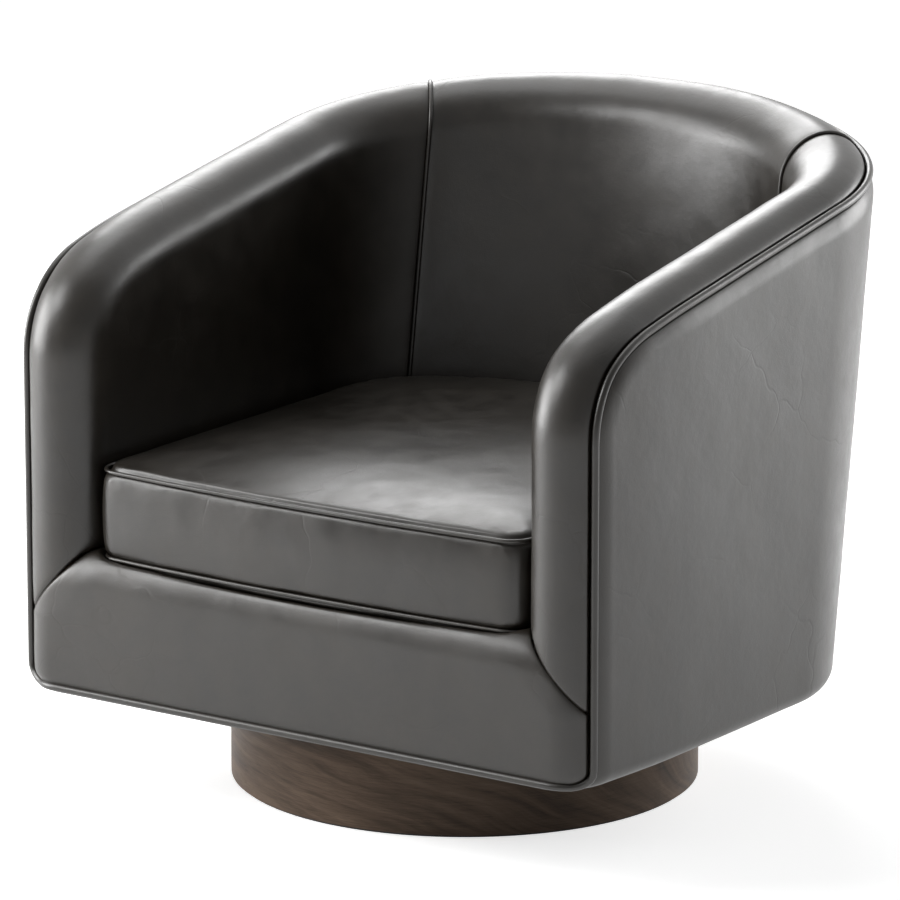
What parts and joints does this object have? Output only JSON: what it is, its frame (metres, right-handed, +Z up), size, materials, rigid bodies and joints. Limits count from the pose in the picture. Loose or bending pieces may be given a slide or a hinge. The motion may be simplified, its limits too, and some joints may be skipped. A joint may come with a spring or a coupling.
{
  "type": "swivel barrel chair",
  "caption": "Upholstered tub chair with rounded arms sweeping up into a leaning back, a loose box seat cushion and a round wooden drum base that it swivels on.",
  "frame": {"origin": "on the floor on the swivel axis, at the centre of the drum's underside", "axes": "+Z up along the swivel axis, the chair faces -Y, +X is to the right when the chair is seen from the front"},
  "size_m": [0.8162, 0.8194, 0.7582],
  "materials": {
    "walnut": "satin dark walnut veneer",
    "plywood": "raw birch plywood",
    "hardwood": "raw hardwood",
    "steel_plate": "black pressed steel",
    "steel_fastener": "zinc plated steel",
    "steel_ball": "polished bearing steel",
    "nylon": "natural nylon",
    "spring_steel": "bare spring wire",
    "leather": "satin charcoal taupe leather with faint mottling",
    "foam": "cream polyurethane foam",
    "felt": "black needle felt",
    "black_cloth": "black spun cloth",
    "zip_tape": "woven zip tape"
  },
  "bodies": {
    "base": {"base_floor_felt": "felt", "base_bottom_board": "plywood", "base_drum_wall": "walnut", "base_top_board": "plywood", "base_brace_long": "plywood", "base_brace_cross": "plywood", "base_glue_blocks": "hardwood", "swivel_lower_plate": "steel_plate", "swivel_lower_bolts": "steel_fastener", "swivel_lower_nuts": "steel_fastener", "swivel_pivot_pin": "steel_fastener"},
    "ball_ring": {"swivel_balls": "steel_ball", "swivel_ball_cage": "nylon"},
    "tub": {"swivel_upper_plate": "steel_plate", "swivel_upper_bolts": "steel_fastener", "swivel_upper_nuts": "steel_fastener", "dust_cover": "black_cloth", "frame_bottom_board": "plywood", "frame_arm_panel_right": "plywood", "frame_arm_panel_left": "plywood", "frame_top_rail": "plywood", "frame_back_posts": "hardwood", "frame_front_board": "plywood", "frame_seat_board": "plywood", "frame_cleats": "hardwood", "frame_corner_blocks": "hardwood", "frame_screws": "steel_fastener", "seat_springs": "spring_steel", "spring_clips": "steel_fastener", "deck_pad": "felt", "deck_cover": "black_cloth", "foam_arm_right": "foam", "foam_arm_left": "foam", "foam_back": "foam", "foam_front_rail": "foam", "cover_arm_right": "leather", "cover_arm_left": "leather", "cover_back": "leather", "cover_side_right": "leather", "cover_side_left": "leather", "cover_outer_back": "leather", "cover_front_rail": "leather", "welt_outer": "leather", "welt_front_rail": "leather", "welt_seam_right": "leather", "welt_seam_left": "leather"},
    "cushion": {"cushion_core": "foam", "cushion_top": "leather", "cushion_border": "leather", "cushion_bottom": "leather", "cushion_welt_top": "leather", "cushion_welt_bottom": "leather", "cushion_zip": "zip_tape"}
  },
  "joints": [
    {"name": "swivel", "type": "hinge", "parent": "base", "child": "tub", "pos_m": [0, 0, 0.1125], "axis": [0, 0, 1], "continuous": true},
    {"name": "ball_ring_roll", "type": "hinge", "parent": "base", "child": "ball_ring", "pos_m": [0, 0, 0.1125], "axis": [0, 0, 1], "continuous": true},
    {"name": "cushion_lift", "type": "slide", "parent": "tub", "child": "cushion", "axis": [0, 0, 1], "range_m": [0, 0.45]}
  ],
  "couplings": [
    {"joint": "ball_ring_roll", "follows": "swivel", "ratio": 0.5}
  ]
}
